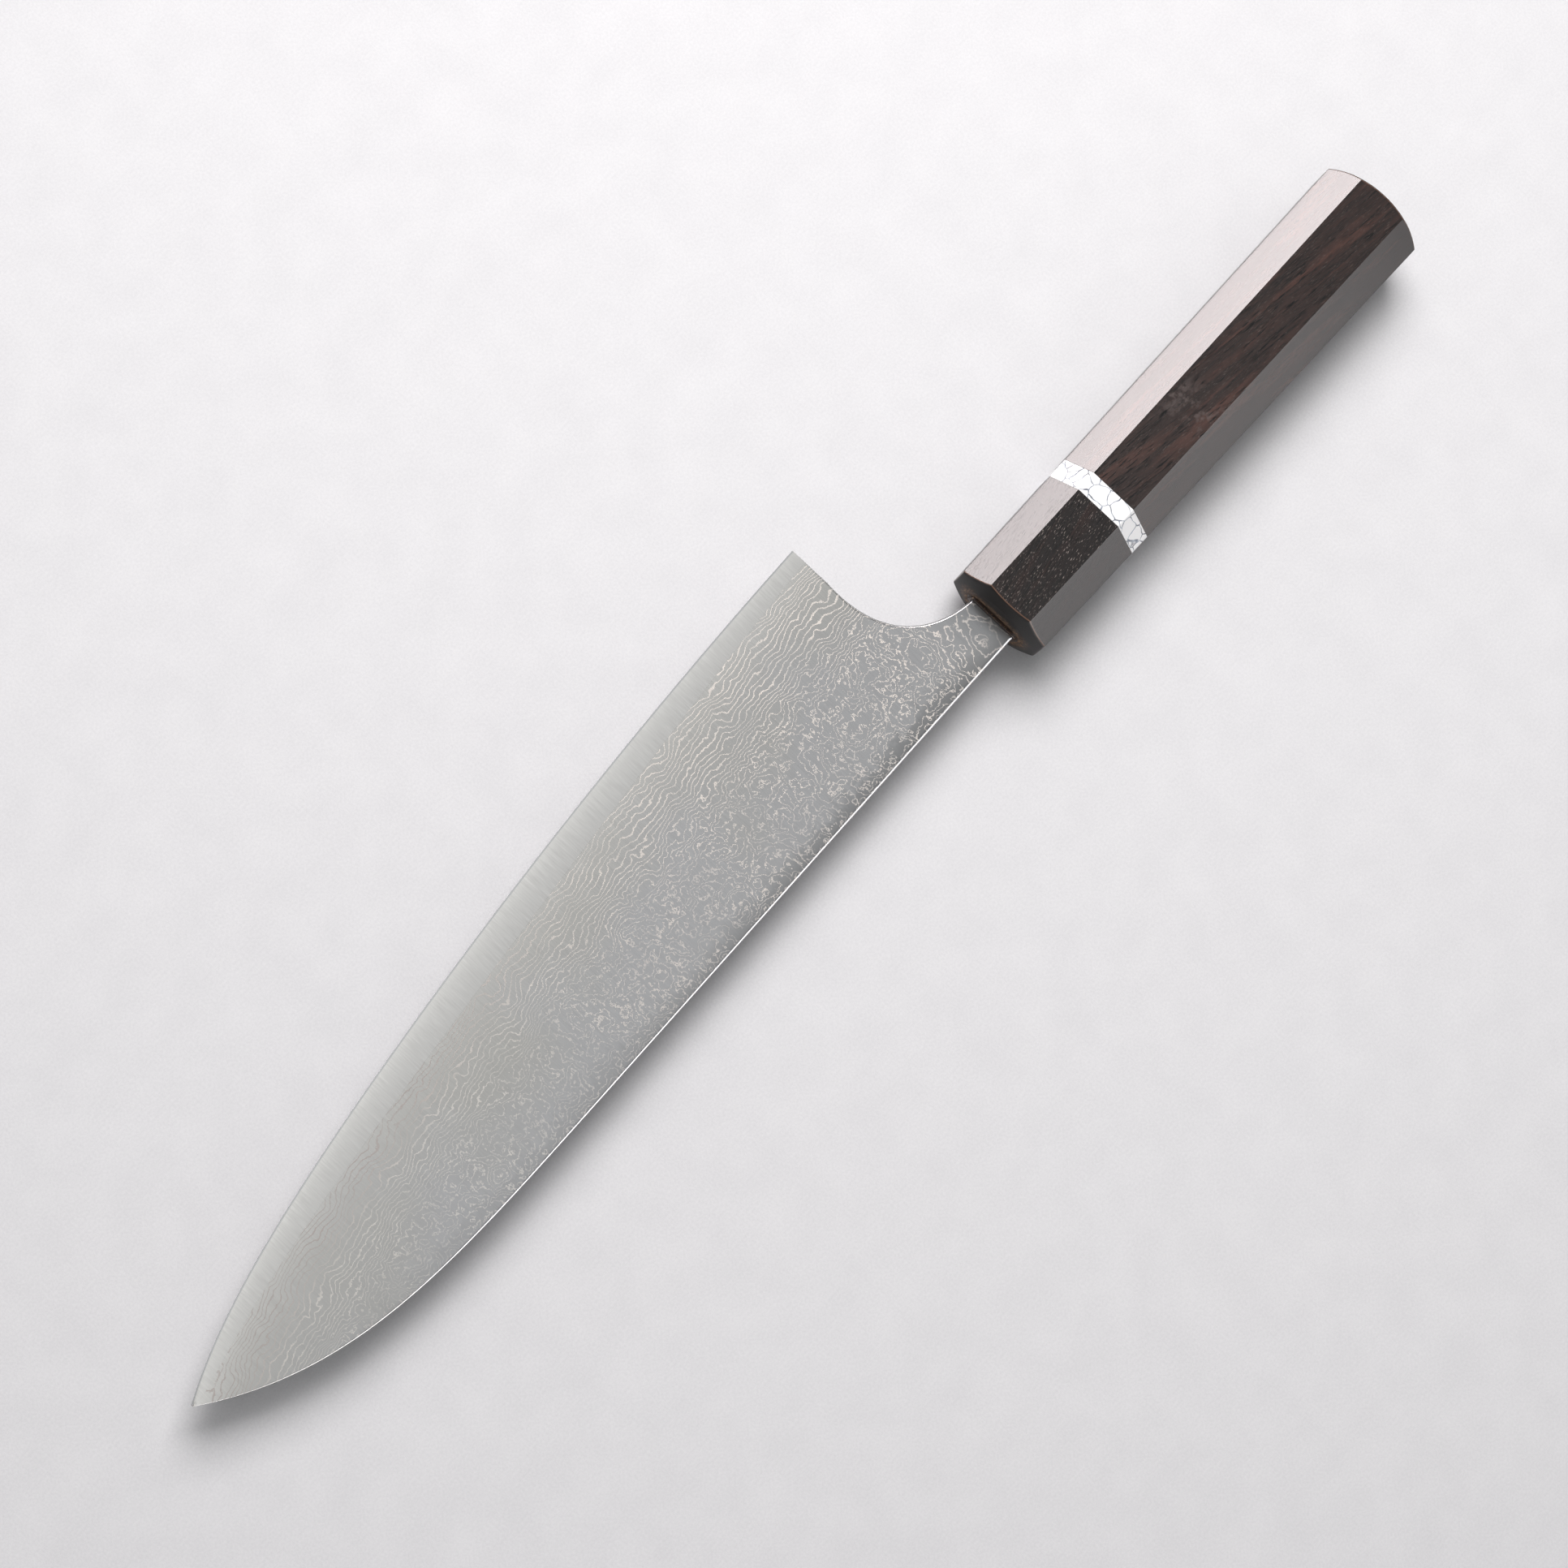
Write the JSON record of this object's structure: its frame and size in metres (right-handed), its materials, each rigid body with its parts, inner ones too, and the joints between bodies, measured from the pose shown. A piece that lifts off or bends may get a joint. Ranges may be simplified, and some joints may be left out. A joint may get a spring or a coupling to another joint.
{
  "type": "chef knife",
  "caption": "Japanese chef knife with a laminated damascus blade and a tapered octagonal ebony handle with a white stone ring.",
  "frame": {"origin": "bottom centre of the whole knife, lying on its left side", "axes": "+X from the handle to the tip, +Y towards the spine, +Z out of the blade's right face"},
  "size_m": [0.4038, 0.06, 0.0272],
  "materials": {
    "core_steel": "satin, finely brushed across the edge",
    "damascus_steel": "lightly etched damascus, satin",
    "sealant_resin": "speckled brown resin",
    "ebony_ferrule": "polished black ebony",
    "white_stone": "polished white stone with dark veins",
    "ebony_body": "polished dark brown ebony",
    "dowel_wood": "plain turned hardwood"
  },
  "bodies": {
    "root": {"blade_core": "core_steel", "cladding_right": "damascus_steel", "cladding_left": "damascus_steel", "tang_sealant": "sealant_resin", "ferrule": "ebony_ferrule", "spacer_ring": "white_stone", "handle_body": "ebony_body", "dowel": "dowel_wood"}
  },
  "joints": []
}
